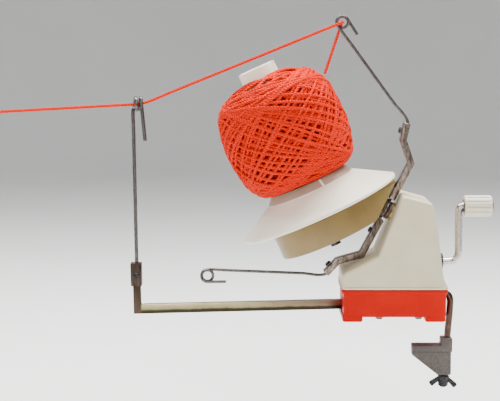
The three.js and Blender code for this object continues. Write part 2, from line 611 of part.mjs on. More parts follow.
// ---- bobbin -------------------------------------------------------------------------------------
const GEAR_Z = SPINDLE_DOWN - BOBBIN.back;
const HUB_BORE = SPINDLE_R + 0.1 + GAP;
const bobbinGear = join(
  bevelGear(BOBBIN, BOBBIN.back, HUB_BORE, 0.5).translate(0, 0, GEAR_Z),
  ring(HUB_BORE, 9, SEAT + 1.1 + GAP, GEAR_Z + 1),
  ring(HUB_BORE, 10.4, GEAR_Z + 2, CONE.neckZ - 12),
);
part(bobbin, 'bobbin_gear', cut(bobbinGear, ...[0, 1, 2, 3].map((i) =>
  round(7, 5, 20, 10).translate(20.5, 0, 0).rotateZ((i + 0.5) * 90 * RAD))), NYLON);

function windingCone() {
  const { r, rim, rimTop, neck, neckZ, hub, hubZ, wall } = CONE;
  return turned([
    [r - 1.6, rim], [r - 0.4, rim + 0.2], [r, rim + 1.2], [r - 0.3, rim + 2.4], [r - 1.4, rimTop],
    [neck, neckZ], [hub, hubZ], [hub - 0.8, hubZ + 0.4], [10.8, hubZ + 0.4], [10.8, hubZ - wall],
    [hub - wall, hubZ - wall], [neck - wall, neckZ - wall], [r - 4, rimTop - 1.4], [r - 3.4, rim + 1],
    [r - 1.6, rim],
  ], 40);
}
part(bobbin, 'winding_cone', windingCone(), WHITE);

// The boss joins the cone to the gear's sleeve and carries the tube.
part(bobbin, 'tube_boss', turned([
  [HUB_BORE, CONE.neckZ - 12 + GAP], [10.4, CONE.neckZ - 12 + GAP], [10.4, CONE.hubZ + 0.8],
  [TUBE.r0 - TUBE.wall - 0.5, CONE.hubZ + 0.8], [TUBE.r0 - TUBE.wall - 0.7, CONE.hubZ + 12],
  [HUB_BORE, CONE.hubZ + 12], [HUB_BORE, CONE.neckZ - 12 + GAP],
], 20), NYLON);

function bobbinTube() {
  const { r0, r1, from, to, wall } = TUBE;
  return turned([
    [r0 - wall, from + GAP], [r0, from + GAP], [r1, to - 1], [r1 - 0.6, to], [r1 - wall, to],
    [r0 - wall, from + GAP],
  ], 32);
}
part(bobbin, 'bobbin_tube', bobbinTube(), WHITE);
part(bobbin, 'spindle_clip', ring(CLIP_BORE, 7.4, 66.6, 67.6), DARK_STEEL);

// ---- guide parts --------------------------------------------------------------------------------
part(bar, 'guide_bar', guideBar(), ZINC);
const guideScrew = screw(3.3, 1.6, 1.5, 8).rotateX(Math.PI).translate(BAR_HOLE_X, 0, 3.7);
part(group, 'guide_screw', guideScrew, DARK_STEEL);

const SLEEVE_TOP = 41;
const SLEEVE_SCREW_Z = 31.6;
function guideSleeve() {
  const [x0, x1, y] = [BAR_END - 1.5, BAR_END + 7.3, BAR.halfWidth + 1.4];
  const outer = box(x0, x1, -y, y, 22.6, SLEEVE_TOP);
  const bore = box(BAR_END - GAP, BAR_END + 6 + GAP, -BAR.halfWidth - GAP, BAR.halfWidth + GAP, 20, 50);
  const tapped = new THREE.CylinderGeometry(1.4, 1.4, 8, 12)
    .translate(BAR_END + 3, -BAR.halfWidth - 1, SLEEVE_SCREW_Z);
  return cut(outer, bore, tapped);
}
part(bar, 'guide_sleeve', guideSleeve(), DARK_STEEL);
const sleeveScrew = screw(2.2, 1.8, 1.1, 1.4).rotateX(Math.PI / 2)
  .translate(BAR_END + 3, -BAR.halfWidth - 1.7, SLEEVE_SCREW_Z);
part(bar, 'sleeve_screw', sleeveScrew, BLACK);

// The guide wire stands in the bar's channel, leans out slightly and ends in an eye about X.
function guideWire() {
  const foot = seenOutside(bar, BAR_END + 3.4, 0, 14);
  const top = { x: GUIDE_EYE.x - 0.4, z: GUIDE_EYE.z - GUIDE_EYE.r };
  const points = [at(foot.x, 0, foot.z)];
  const straight = 6;
  const neck = seenOutside(bar, BAR_END + 3.4, 0, SLEEVE_TOP + 3);
  for (let i = 0; i < straight; i += 1) {
    const t = i / straight;
    points.push(at(neck.x + (top.x - neck.x) * t, 0, neck.z + (top.z - neck.z) * t));
  }
  const steps = 20;
  const turns = 1.6;
  for (let i = 0; i <= steps; i += 1) {
    const angle = -Math.PI / 2 + (i / steps) * turns * 2 * Math.PI;
    const x = top.x + 1.35 * 2 * GUIDE_WIRE_R * (i / steps) * turns;
    points.push(at(x, GUIDE_EYE.r * Math.cos(angle), GUIDE_EYE.z + GUIDE_EYE.r * Math.sin(angle)));
  }
  const last = points[points.length - 1];
  for (let i = 1; i <= 3; i += 1) {
    points.push(at(last.x + 1.1 * i, last.y - 0.9 * i, last.z - 11 * i));
  }
  return wire(points, GUIDE_WIRE_R, 66, 6);
}
part(group, 'guide_wire', guideWire(), DARK_STEEL);

// ---- table clamp --------------------------------------------------------------------------------
function clampRod() {
  const bend = seenOutside(clamp, 0, 0, -6);
  const end = seenOutside(clamp, 0, 0, CLAMP.end);
  const points = [
    at(TRAY.right - 13, 0, CLAMP.exitZ), at(TRAY.right - 4, 0, CLAMP.exitZ),
    at(TRAY.right + 1.4, 0, CLAMP.exitZ), at(CLAMP.topX - 1.6, 0, CLAMP.exitZ - 1.3),
    at(CLAMP.topX - 0.4, 0, CLAMP.exitZ - 4.2), at(bend.x, 0, bend.z),
  ];
  for (let i = 1; i <= 4; i += 1) {
    points.push(at(bend.x + ((end.x - bend.x) * i) / 4, 0, bend.z + ((end.z - bend.z) * i) / 4));
  }
  return wire(points, CLAMP.rodR, 20, 8);
}
part(group, 'clamp_rod', clampRod(), DARK_STEEL);
const nutFace = TRAY.right - LIP.out - WALL;
const rodNut = hexNut(CLAMP.rodR + GAP, 5, nutFace - 4.2, nutFace - GAP)
  .rotateY(Math.PI / 2).translate(0, 0, CLAMP.exitZ);
part(group, 'clamp_rod_nut', rodNut, DARK_STEEL);

// The jaw is square to the table, so it is drawn upright and its bore follows the leaning rod.
const JAW_ARM_Z = seenOutside(clamp, 0, 0, JAW.arm).z;
function clampJaw() {
  const { left, right, post, halfWidth } = JAW;
  const top = seenOutside(clamp, 0, 0, JAW.block).z;
  const low = seenOutside(clamp, 0, 0, JAW.bottom).z;
  const ledge = JAW_ARM_Z - JAW.plate;
  const arm = slab([
    [left, ledge], [right, ledge], [right, top], [post, top], [post, JAW_ARM_Z], [left, JAW_ARM_Z],
  ], -halfWidth, halfWidth);
  const rib = slab([
    [post, ledge], [left, ledge], [left, ledge - 2.8], [5, low], [right - 0.6, low], [right - 0.6, ledge],
  ], -halfWidth + 2, halfWidth - 2);
  return cut(join(arm, rib), outOf(clamp, round(CLAMP.rodR + 0.4, -90, 10, 20)));
}
part(group, 'clamp_jaw', clampJaw(), CAST);

function wingNut() {
  const { bottom } = JAW;
  const bore = CLAMP.rodR + 0.4;
  const top = bottom - GAP - 0.8;
  const body = turned([
    [bore, top - 8.4], [3.9, top - 8.4], [4.5, top - 2], [4.7, top], [bore, top], [bore, top - 8.4],
  ], 20);
  const wing = (sign) => slab(rounded([
    [sign * 3.6, top - 0.6], [sign * 3.6, top - 4.6], [sign * 8.8, top - 9.6, 1.5],
    [sign * 12, top - 6.6, 1.5],
  ], 3), -1.3, 1.3);
  return cut(join(body, wing(1), wing(-1)), round(bore, top - 12, top + 3, 20));
}
part(clamp, 'wing_nut', wingNut(), BLACK);

// ---- yarn ---------------------------------------------------------------------------------------
// The ball is a plain solid of revolution about the bobbin axis, clear of the tube.
part(bobbin, 'yarn_ball', turned([
  [TUBE.r0 + 0.6, 55.6], [31, 55.6], [40, 57.6], [44.5, 64], [48, 76], [50, 92], [50, 110], [47.5, 122],
  [42, 132], [31, 140], [TUBE.r0 + 0.6, 142.6], [TUBE.r0 + 0.6, 55.6],
], 32), YARN);

const throughEye = (y) => seenOutside(flyer, EYE.across, y, EYE.along);
const YARN_ON_BALL = at(-86.8, 6, 194.6);
const YARN_AT_GUIDE = at(GUIDE_EYE.x + 2.2, 0, GUIDE_EYE.z);
const YARN_OUT = at(-354, 0, 164.2);

// Points from a to b in equal steps, without b itself.
const between = (a, b, count) => Array.from({ length: count }, (_, i) => a.clone().lerp(b, i / count));

const NEAR_SIDE = throughEye(-5);
const FAR_SIDE = throughEye(9.4);
const nearLead = NEAR_SIDE.clone().lerp(YARN_AT_GUIDE, 0.02);
const guideEntry = YARN_AT_GUIDE.clone().add(at(8, 0, 1.6));
const farLead = FAR_SIDE.clone().lerp(YARN_ON_BALL, 0.06);
const toBall = [-2.6, 2, 7].map(throughEye).concat(between(farLead, YARN_ON_BALL, 4), YARN_ON_BALL);
part(group, 'yarn_to_ball', wire(toBall, YARN_R, 16), YARN);
const toGuide = [-3.3, -4].map(throughEye)
  .concat(between(nearLead, guideEntry, 8), guideEntry, YARN_AT_GUIDE);
part(group, 'yarn_to_guide', wire(toGuide, YARN_R, 36), YARN);
const leadStart = YARN_AT_GUIDE.clone().add(at(-GAP, 0, 0));
part(group, 'yarn_lead', wire([...between(leadStart, YARN_OUT, 4), YARN_OUT], YARN_R, 24), YARN);
const knot = turned([[0, 0], [2, 0.4], [2.9, 2], [2.6, 4], [1.4, 5.6], [0, 6]], 12)
  .rotateY(-Math.PI / 2).translate(YARN_OUT.x - 0.4, 0, YARN_OUT.z - 0.1);
part(group, 'yarn_end_knot', knot, YARN);

export default group;
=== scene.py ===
import json
import math

import bmesh
import bpy
import numpy as np
from mathutils import Matrix, Vector


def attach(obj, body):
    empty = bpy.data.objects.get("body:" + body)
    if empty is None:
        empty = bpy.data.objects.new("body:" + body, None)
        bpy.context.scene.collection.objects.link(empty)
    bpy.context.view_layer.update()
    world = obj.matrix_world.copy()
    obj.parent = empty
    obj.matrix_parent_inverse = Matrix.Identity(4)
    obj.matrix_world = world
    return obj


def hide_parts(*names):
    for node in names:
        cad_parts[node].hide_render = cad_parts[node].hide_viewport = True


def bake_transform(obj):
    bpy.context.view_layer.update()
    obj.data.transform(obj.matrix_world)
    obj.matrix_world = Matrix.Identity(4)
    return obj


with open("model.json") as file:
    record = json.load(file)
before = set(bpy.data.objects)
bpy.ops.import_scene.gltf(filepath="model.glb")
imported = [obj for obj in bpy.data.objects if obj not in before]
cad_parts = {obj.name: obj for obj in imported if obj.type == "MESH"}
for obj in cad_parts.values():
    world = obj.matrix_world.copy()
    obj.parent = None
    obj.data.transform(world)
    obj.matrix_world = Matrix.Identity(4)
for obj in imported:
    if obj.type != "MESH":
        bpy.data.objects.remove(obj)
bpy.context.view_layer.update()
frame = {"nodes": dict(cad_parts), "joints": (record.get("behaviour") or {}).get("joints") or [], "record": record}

MM = 0.001
RAD = math.pi / 180
JOINTS = {j["name"]: j for j in frame["joints"]}

# ---- dimensions that the detailed pieces share with the frame, in millimetres --------------------
CRANK = {"rod": 3.0, "arm": 20.8, "throw": 44.5, "lower_bend": 6.5, "upper_bend": 4.0, "inner": -34.0}
KNOB = {"start": 25.1, "end": 46.9, "r": 8.5, "bore": 3.4, "flutes": 12}
EYE = {"along": 101.0, "across": 114.5, "r": 4.6, "turns": 1.5}
ARM_BEND = (16.8, 53.6)
ARM_END = (20.6, 67.7)
WIRE_R = 1.2
COIL_PITCH = 2.7  # how far an eye's coil rises in one turn, as a multiple of the wire's radius
CONE = {
    "r": 66.0, "rim": 28.0, "rim_top": 31.2, "neck": 36.5, "neck_z": 47.5, "hub": 31.5, "hub_z": 54.0,
    "wall": 2.6, "bore": 10.8,
}
TUBE = {"r0": 17.4, "r1": 15.2, "low": 54.9, "top": 152.5, "wall": 1.8}
BAR = {"droop": 1.4 * RAD, "out_x": -239.8, "corner_x": -74.0, "corner_z": 6.5}
GUIDE_EYE = {"x": -239.0, "z": 170.6, "r": 5.0, "turns": 1.6}
GUIDE_WIRE_R = 1.5
CLAMP = {
    "lean": 4.5 * RAD, "x": 15.0, "z": 12.0, "r": 2.7, "exit_z": 18.4, "low_bend": -6.0, "end": -70.0,
}
GROOVES = {"top": -40, "depth": 0.22, "pitch": 1.0, "ring": 0.25}  # the clamp rod's thread
TRAY = {"left": -74.0, "right": 9.8, "floor": 4.0, "top": 22.4, "lip": 25.8, "out": 1.4, "depth": 30.0}
FOOT = {"width": 16.0, "left": -65.4, "inset": 2.0}
YARN_R = 1.2
PLY_PITCH = 0.0075
PLY_SIDES = 12
STRAND_STEP = 0.0005
BALL_MID = 96.5
BALL_PROFILE = [
    (54.5, 29.0), (56.5, 38.5), (61, 43.5), (68, 46.8), (76, 48.8), (86, 50.2), (98, 50.6), (110, 50.0),
    (118, 48.4), (125, 46.0), (131, 42.6), (136, 37.0), (140, 29.5), (143, 19.5),
]


# ---- frames -------------------------------------------------------------------------------------
def tilted(origin, z_axis):
    """A frame whose z is z_axis and whose y is the row's Y."""
    z = Vector(z_axis).normalized()
    y = Vector((0, 1, 0))
    x = y.cross(z).normalized()
    turn = Matrix((x, y, z)).transposed().to_4x4()
    return Matrix.Translation(Vector(origin)) @ turn


FLYER = tilted(JOINTS["flyer_spin"]["pos_m"], JOINTS["flyer_spin"]["axis"])
BOBBIN = tilted(JOINTS["bobbin_spin"]["pos_m"], JOINTS["bobbin_spin"]["axis"])
CRANK_Z = JOINTS["crank_turn"]["pos_m"][2]
HANDLE = tilted((0, 0, CRANK_Z + CRANK["throw"] * MM), (1, 0, 0))
ROW = Matrix.Identity(4)
BAR_FRAME = tilted(
    (BAR["corner_x"] * MM, 0, BAR["corner_z"] * MM),
    (-math.sin(BAR["droop"]), 0, math.cos(BAR["droop"])))
CLAMP_FRAME = tilted(
    (CLAMP["x"] * MM, 0, CLAMP["z"] * MM), (math.sin(CLAMP["lean"]), 0, math.cos(CLAMP["lean"])))


def mm(x, y, z, place=ROW):
    """A point given in millimetres in a frame, in metres in the row frame."""
    return place @ Vector((x * MM, y * MM, z * MM))


# ---- camera and light ---------------------------------------------------------------------------
VIEW_CENTRE = Vector((-0.1464, 0, 0.0937))
VIEW_DISTANCE = 1.3
VIEW_WIDTH = 0.4
VIEW_ELEVATION = 6 * RAD
SENSOR = 36


def make_camera():
    data = bpy.data.cameras.new("camera")
    data.sensor_width = SENSOR
    data.lens = SENSOR * VIEW_DISTANCE / VIEW_WIDTH
    camera = bpy.data.objects.new("camera", data)
    back = Vector((0, -math.cos(VIEW_ELEVATION), math.sin(VIEW_ELEVATION)))
    camera.location = VIEW_CENTRE + VIEW_DISTANCE * back
    camera.rotation_euler = (-back).to_track_quat("-Z", "Y").to_euler()
    bpy.context.collection.objects.link(camera)
    bpy.context.scene.camera = camera


# Each light's name, place from the middle of the view and size in metres, power in watts and colour.
LIGHTS = [
    ("key_light", (0.45, -0.95, 1.05), (0.6, 0.6), 10, (1, 0.97, 0.93)),
    ("front_light", (-0.25, -1.5, 0.5), (0.35, 0.9), 4.2, (0.97, 0.98, 1)),
    ("top_light", (0.3, 0.15, 1.3), (0.8, 0.5), 10, (1, 0.98, 0.95)),
    ("backdrop_light", (0.0, 0.25, 1.0), (1.6, 0.3), 48, (1, 1, 1)),
]


def area_light(name, place, size, power, colour):
    data = bpy.data.lights.new(name, "AREA")
    data.shape = "RECTANGLE"
    data.size, data.size_y = size
    data.energy = power
    data.color = colour
    light = bpy.data.objects.new(name, data)
    light.location = VIEW_CENTRE + Vector(place)
    light.rotation_euler = (-Vector(place)).to_track_quat("-Z", "Y").to_euler()
    bpy.context.collection.objects.link(light)


def make_light():
    world = bpy.context.scene.world or bpy.data.worlds.new("world")
    bpy.context.scene.world = world
    world.use_nodes = True
    background = world.node_tree.nodes["Background"]
    background.inputs["Color"].default_value = (0.96, 0.97, 1.0, 1)
    background.inputs["Strength"].default_value = 0.3
    for light in LIGHTS:
        area_light(*light)


def make_backdrop():
    """A pale paper bowl: a floor below the object that curves up into a wall all round it."""
    low, high, reach, bend = -0.085, 2.0, 3.2, 0.9
    around, bend_steps = 96, 16
    outline = [(0.02, low), (1.2, low), (reach - bend, low)]
    for i in range(1, bend_steps + 1):
        angle = math.pi / 2 * i / bend_steps
        outline.append((reach - bend + bend * math.sin(angle), low + bend - bend * math.cos(angle)))
    outline.append((reach, high))
    points, faces, n = [], [], len(outline)
    for i in range(around):
        angle = 2 * math.pi * i / around
        points += [(r * math.cos(angle), r * math.sin(angle), z) for r, z in outline]
        j = (i + 1) % around
        faces += [(i * n + k, j * n + k, j * n + k + 1, i * n + k + 1) for k in range(n - 1)]
    faces.append([i * n for i in reversed(range(around))])
    mesh = bpy.data.meshes.new("paper_sweep")
    mesh.from_pydata(points, [], faces)
    mesh.polygons.foreach_set("use_smooth", [True] * len(faces))
    look = Nodes("paper")
    tooth = look.noise(420, 4)
    colour = look.ramp(look.noise(3, 3), [(0.3, (0.90, 0.90, 0.89)), (0.7, (0.94, 0.94, 0.93))])
    paper = look.done(colour, look.spread(tooth, 0.75, 0.9), look.bump(tooth, 0.1, 0.0003))
    mesh.materials.append(paper)
    sweep_object = bpy.data.objects.new("paper_sweep", mesh)
    bpy.context.collection.objects.link(sweep_object)


make_camera()
make_light()


# ---- materials ----------------------------------------------------------------------------------
class Nodes:
    """A short way to write a node material around one Principled shader."""

    def __init__(self, name):
        self.material = bpy.data.materials.new(name)
        self.material.use_nodes = True
        self.tree = self.material.node_tree
        self.shader = self.tree.nodes["Principled BSDF"]
        self.place = self.add("ShaderNodeTexCoord").outputs["Object"]

    def add(self, kind, **settings):
        node = self.tree.nodes.new(kind)
        for key, value in settings.items():
            setattr(node, key, value)
        return node

    def link(self, out, socket):
        self.tree.links.new(out, socket)

    def set(self, **values):
        """Sets inputs of the shader by name, so coat_weight stands for "Coat Weight"."""
        for key, value in values.items():
            title = key.replace("_", " ").title().replace("Ior", "IOR")
            self.shader.inputs[title].default_value = value

    def stretched(self, x, y, z):
        node = self.add("ShaderNodeMapping")
        node.inputs["Scale"].default_value = (x, y, z)
        self.link(self.place, node.inputs["Vector"])
        return node.outputs["Vector"]

    def noise(self, scale, detail=4, vector=None, roughness=0.55):
        node = self.add("ShaderNodeTexNoise")
        node.inputs["Scale"].default_value = scale
        node.inputs["Detail"].default_value = detail
        node.inputs["Roughness"].default_value = roughness
        self.link(vector or self.place, node.inputs["Vector"])
        return node.outputs["Fac"]

    def ramp(self, fac, stops):
        node = self.add("ShaderNodeValToRGB")
        ramp = node.color_ramp
        while len(ramp.elements) < len(stops):
            ramp.elements.new(0.5)
        for element, (spot, colour) in zip(ramp.elements, stops):
            element.position = spot
            element.color = (*colour, 1)
        self.link(fac, node.inputs["Fac"])
        return node.outputs["Color"]

    def spread(self, fac, low, high, start=0.3, end=0.7):
        node = self.add("ShaderNodeMapRange")
        node.inputs["From Min"].default_value = start
        node.inputs["From Max"].default_value = end
        node.inputs["To Min"].default_value = low
        node.inputs["To Max"].default_value = high
        self.link(fac, node.inputs["Value"])
        return node.outputs["Result"]

    def mix(self, fac, a, b):
        node = self.add("ShaderNodeMix", data_type="RGBA", blend_type="MIX")
        for value, socket in ((fac, node.inputs[0]), (a, node.inputs[6]), (b, node.inputs[7])):
            if isinstance(value, bpy.types.NodeSocket):
                self.link(value, socket)
            else:
                socket.default_value = (*value, 1) if isinstance(value, tuple) else value
        return node.outputs[2]

    def bump(self, height, strength, distance, below=None):
        node = self.add("ShaderNodeBump")
        node.inputs["Strength"].default_value = strength
        node.inputs["Distance"].default_value = distance
        self.link(height, node.inputs["Height"])
        if below is not None:
            self.link(below, node.inputs["Normal"])
        return node.outputs["Normal"]

    def math(self, operation, a, b=0.0):
        node = self.add("ShaderNodeMath", operation=operation)
        for value, socket in ((a, node.inputs[0]), (b, node.inputs[1])):
            if isinstance(value, bpy.types.NodeSocket):
                self.link(value, socket)
            else:
                socket.default_value = value
        return node.outputs["Value"]

    def along(self, place, axis):
        """Distance from a frame's origin along one of its axes."""
        node = self.add("ShaderNodeVectorMath", operation="DOT_PRODUCT")
        self.link(self.place, node.inputs[0])
        direction = place.to_3x3() @ Vector(axis)
        node.inputs[1].default_value = direction
        return self.math("SUBTRACT", node.outputs["Value"], place.translation.dot(direction))

    def eased(self, radius):
        """Normals rounded over the mesh's edges."""
        node = self.add("ShaderNodeBevel", samples=6)
        node.inputs["Radius"].default_value = radius
        return node.outputs["Normal"]

    def ply_ridges(self):
        """1 on the plies' crests and 0 in the grooves between them, from the mesh's "lay" attribute."""
        lay = self.add("ShaderNodeAttribute", attribute_name="lay").outputs["Vector"]
        split = self.add("ShaderNodeSeparateXYZ")
        self.link(lay, split.inputs["Vector"])
        turn = self.math("ARCTAN2", split.outputs["Y"], split.outputs["X"])
        lead = self.math("MULTIPLY", split.outputs["Z"], 2 * math.pi / PLY_PITCH)
        twist = self.math("SUBTRACT", turn, lead)
        return self.math("ABSOLUTE", self.math("COSINE", self.math("MULTIPLY", twist, 1.5)))

    def done(self, colour, roughness, normal):
        self.link(colour, self.shader.inputs["Base Color"])
        self.link(roughness, self.shader.inputs["Roughness"])
        self.link(normal, self.shader.inputs["Normal"])
        return self.material


def scaled(colour, by):
    return tuple(min(1, c * by) for c in colour)


def plastic(name, light, dark, rough, coat, glow=0.0, shine=0.5):
    """Moulded plastic: faint clouding, fine grain in the gloss, a slight orange-peel skin."""
    n = Nodes(name)
    clouds = n.noise(38, 5)
    grain = n.noise(2600, 3)
    colour = n.ramp(clouds, [(0.3, dark), (0.62, light)])
    flecks = n.spread(n.noise(900, 2), 0, 0.25, 0.68, 0.8)
    colour = n.mix(flecks, colour, scaled(dark, 0.62))
    n.set(coat_weight=coat, coat_roughness=0.2, specular_ior_level=shine)
    if glow:
        n.set(subsurface_weight=glow, subsurface_radius=(1.0, 0.7, 0.4), subsurface_scale=0.002)
    skin = n.bump(n.noise(420, 3), 0.10, 0.0004, n.eased(0.0004))
    normal = n.bump(grain, 0.05, 0.0001, skin)
    return n.done(colour, n.spread(n.noise(120, 6), rough - 0.07, rough + 0.1), normal)


def metal(name, light, dark, rough, draw=(1, 1, 1), wear=0.3, bump=0.08):
    """Plated or bare metal: drawn streaks, smudges in the polish and darker, duller patches."""
    n = Nodes(name)
    streaks = n.noise(700, 4, n.stretched(*draw))
    patches = n.noise(75, 6, roughness=0.65)
    colour = n.ramp(streaks, [(0.3, dark), (0.7, light)])
    stains = n.spread(patches, 0, wear, 0.5, 0.72)
    colour = n.mix(stains, colour, scaled(dark, 0.42))
    n.set(metallic=1)
    normal = n.bump(streaks, bump, 0.0002, n.eased(0.0003))
    return n.done(colour, n.spread(patches, rough - 0.06, rough + 0.16), normal)


def zinc_bar_painted_shade(name):
    """Yellow-passivated zinc, with painted reflection and shade by height: lighter along the top, olive down its
    sides and nearly black along the lower edge; a painted reddish reflection of the orange tray near the base.
    """
    n = Nodes(name)
    flow = n.noise(26, 5, n.stretched(0.5, 2, 2), 0.6)
    streaks = n.noise(900, 3, n.stretched(0.1, 1, 1))
    colour = n.ramp(flow, [
        (0.30, (0.46, 0.37, 0.20)), (0.45, (0.66, 0.56, 0.34)), (0.58, (0.52, 0.48, 0.27)),
        (0.72, (0.68, 0.50, 0.36)),
    ])
    height = n.math("ADD", n.along(BAR_FRAME, (0, 0, 1)), n.spread(n.noise(120, 4), -0.0004, 0.0004))
    reach = n.along(BAR_FRAME, (1, 0, 0))
    # painted shade and reflection by height: the sides below the lit top turn olive
    olive = n.mix(n.spread(streaks, 0, 0.4), (0.30, 0.28, 0.13), (0.20, 0.17, 0.09))
    colour = n.mix(n.spread(height, 1, 0, 0.0042, 0.0068), colour, olive)
    # painted reflection: a reddish tint of the orange tray on the bar near the base
    colour = n.mix(n.spread(reach, 0, 0.8, -0.085, -0.012), colour, (0.20, 0.105, 0.085))
    # painted shade: nearly black along the bar's lower edge
    painted_shade_black = n.mix(n.spread(flow, 0, 1), (0.020, 0.018, 0.010), (0.040, 0.034, 0.020))
    colour = n.mix(n.spread(height, 1, 0, 0.0024, 0.0038), colour, painted_shade_black)
    brown = n.mix(n.spread(flow, 0, 1), (0.045, 0.030, 0.022), (0.085, 0.060, 0.045))
    upright = (BAR["out_x"] - BAR["corner_x"] + 6) * MM
    colour = n.mix(n.spread(reach, 1, 0, upright - 0.0005, upright + 0.001), colour, brown)
    n.set(metallic=1)
    return n.done(colour, n.spread(flow, 0.24, 0.42), n.bump(streaks, 0.08, 0.0002, n.eased(0.0004)))


def casting(name):
    """Grey paint on sand-cast iron: a grainy skin with darker pits."""
    n = Nodes(name)
    grit = n.noise(1300, 6, roughness=0.7)
    lumps = n.noise(260, 4)
    colour = n.ramp(grit, [(0.32, (0.030, 0.025, 0.022)), (0.6, (0.115, 0.098, 0.090))])
    colour = n.mix(n.spread(n.noise(90, 4), 0, 0.4, 0.5, 0.7), colour, (0.15, 0.13, 0.12))
    n.set(metallic=0.3)
    normal = n.bump(grit, 0.35, 0.0003, n.bump(lumps, 0.35, 0.0008, n.eased(0.0008)))
    return n.done(colour, n.spread(grit, 0.42, 0.68), normal)


def yarn(name, light, dark):
    """Wool: fibres as a fine streaky bump, darker in the grooves between the plies as painted shade, matt with a
    soft sheen.
    """
    n = Nodes(name)
    fibres = n.noise(3800, 5, n.stretched(1, 1, 0.55), 0.7)
    tufts = n.noise(260, 4)
    colour = n.ramp(fibres, [(0.34, dark), (0.60, light)])
    colour = n.mix(n.spread(tufts, 0, 0.35, 0.45, 0.7), colour, scaled(light, 1.18))
    ridges = n.ply_ridges()
    # painted shade: darker in the grooves between the plies
    colour = n.mix(n.spread(ridges, 0.85, 0, 0.0, 0.55), colour, scaled(dark, 0.5))
    n.set(sheen_weight=0.02, sheen_roughness=0.45, sheen_tint=(1, 0.55, 0.3, 1), specular_ior_level=0.1)
    normal = n.bump(fibres, 0.6, 0.0003, n.bump(ridges, 0.9, 0.0005))
    return n.done(colour, n.spread(tufts, 0.78, 0.95), normal)


make_backdrop()

LOOKS = {
    "orange_plastic": plastic(
        "orange_plastic", (0.50, 0.0045, 0.0), (0.43, 0.003, 0.0), 0.42, coat=0.0, shine=0.05),
    "cream_plastic": plastic(
        "cream_plastic", (0.65, 0.575, 0.405), (0.58, 0.505, 0.345), 0.42, coat=0.08, glow=0.03),
    "white_plastic": plastic(
        "white_plastic", (0.93, 0.87, 0.72), (0.87, 0.81, 0.66), 0.36, coat=0.1, glow=0.04),
    # the gear case's yellowed plastic, darkened further with painted shade from the cone above it
    "case_plastic": plastic(
        "case_plastic", (0.235, 0.155, 0.044), (0.19, 0.120, 0.033), 0.42, coat=0.05, glow=0.03),
    "nylon": plastic("nylon", (0.70, 0.64, 0.48), (0.60, 0.54, 0.40), 0.5, coat=0.0, glow=0.1),
    "nickel_plate": metal(
        "nickel_plate", (0.68, 0.62, 0.58), (0.42, 0.36, 0.33), 0.15, (0.3, 1, 1),
        wear=0.12, bump=0.03),
    "dark_steel": metal("dark_steel", (0.22, 0.18, 0.15), (0.10, 0.08, 0.065), 0.33, (1, 1, 0.25)),
    "black_metal": metal("black_metal", (0.06, 0.06, 0.065), (0.018, 0.018, 0.02), 0.36, bump=0.15),
    "bronze": metal("bronze", (0.62, 0.42, 0.17), (0.34, 0.21, 0.08), 0.35),
    "zinc_plate": zinc_bar_painted_shade("zinc_painted_shade"),
    "cast_metal": casting("cast_metal"),
    "orange_yarn": yarn("orange_yarn", (0.92, 0.024, 0.0), (0.60, 0.009, 0.0)),
}
# Looks of single pieces that differ from their slot's own.
TARNISHED = metal(
    "tarnished_nickel", (0.36, 0.29, 0.245), (0.06, 0.042, 0.032), 0.24, (1, 1, 0.3))
DULL_SLEEVE = metal("dull_sleeve", (0.085, 0.060, 0.048), (0.035, 0.025, 0.020), 0.36, (1, 1, 0.25))
BROWNED = metal("browned_steel", (0.13, 0.080, 0.060), (0.05, 0.032, 0.025), 0.30, (1, 1, 0.25))
AGED_KNOB = plastic("aged_knob", (0.76, 0.70, 0.57), (0.66, 0.60, 0.48), 0.4, coat=0.1, glow=0.03)
SHADED_NECK = plastic("shaded_neck", (0.42, 0.31, 0.23), (0.33, 0.24, 0.17), 0.4, coat=0.1, glow=0.02)
SPRING_WIRE = metal("spring_wire", (0.17, 0.16, 0.155), (0.06, 0.056, 0.054), 0.28, (1, 1, 0.3))
# painted shade: a dark yarn for the ball's core, where only shade shows between the wraps
CORE_YARN_PAINTED_SHADE = yarn("core_yarn_painted_shade", (0.34, 0.010, 0.001), (0.12, 0.003, 0.001))
WORN = {
    "flyer_arm_upper": TARNISHED, "flyer_arm_lower": TARNISHED, "flyer_crossbar": TARNISHED,
    "guide_sleeve": DULL_SLEEVE,
}
SLOT_OF = {s["node"]: s["material_slot"] for s in frame["record"]["subparts"]}
BODY_OF = {n: body for body, nodes in frame["record"]["behaviour"]["bodies"].items() for n in nodes}


# ---- mesh helpers -------------------------------------------------------------------------------
def add_mesh(name, points, faces, look, smooth=True, material=None):
    mesh = bpy.data.meshes.new(name)
    mesh.from_pydata([tuple(p) for p in points], [], faces)
    mesh.update()
    if smooth:
        mesh.polygons.foreach_set("use_smooth", [True] * len(mesh.polygons))
    mesh.materials.append(material or LOOKS[look])
    piece = bpy.data.objects.new(name, mesh)
    bpy.context.collection.objects.link(piece)
    return piece


def stand_for(piece, *nodes):
    """The piece takes the nodes' place and rides on their body."""
    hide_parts(*nodes)
    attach(piece, BODY_OF[nodes[0]])
    return piece


def sharp_by_angle(piece, degrees):
    piece.data.set_sharp_from_angle(angle=degrees * RAD)


def revolve(profile, place, segments, radius_at=None, offset=0):
    """Points and faces of a closed profile of (radius, height), turned about the frame's z."""
    points, faces, n = [], [], len(profile)
    for i in range(segments):
        angle = 2 * math.pi * i / segments
        for r, z in profile:
            radius = radius_at(r, z, angle) if radius_at else r
            points.append(mm(radius * math.cos(angle), radius * math.sin(angle), z, place))
        a, b = offset + i * n, offset + (i + 1) % segments * n
        faces += [(a + k, b + k, b + (k + 1) % n, a + (k + 1) % n) for k in range(n)]
    return points, faces


def turned(name, profile, place, look, segments, radius_at=None):
    piece = add_mesh(name, *revolve(profile, place, segments, radius_at), look)
    outward(piece)
    return piece


def outward(piece):
    work = bmesh.new()
    work.from_mesh(piece.data)
    bmesh.ops.recalc_face_normals(work, faces=work.faces)
    work.to_mesh(piece.data)
    work.free()


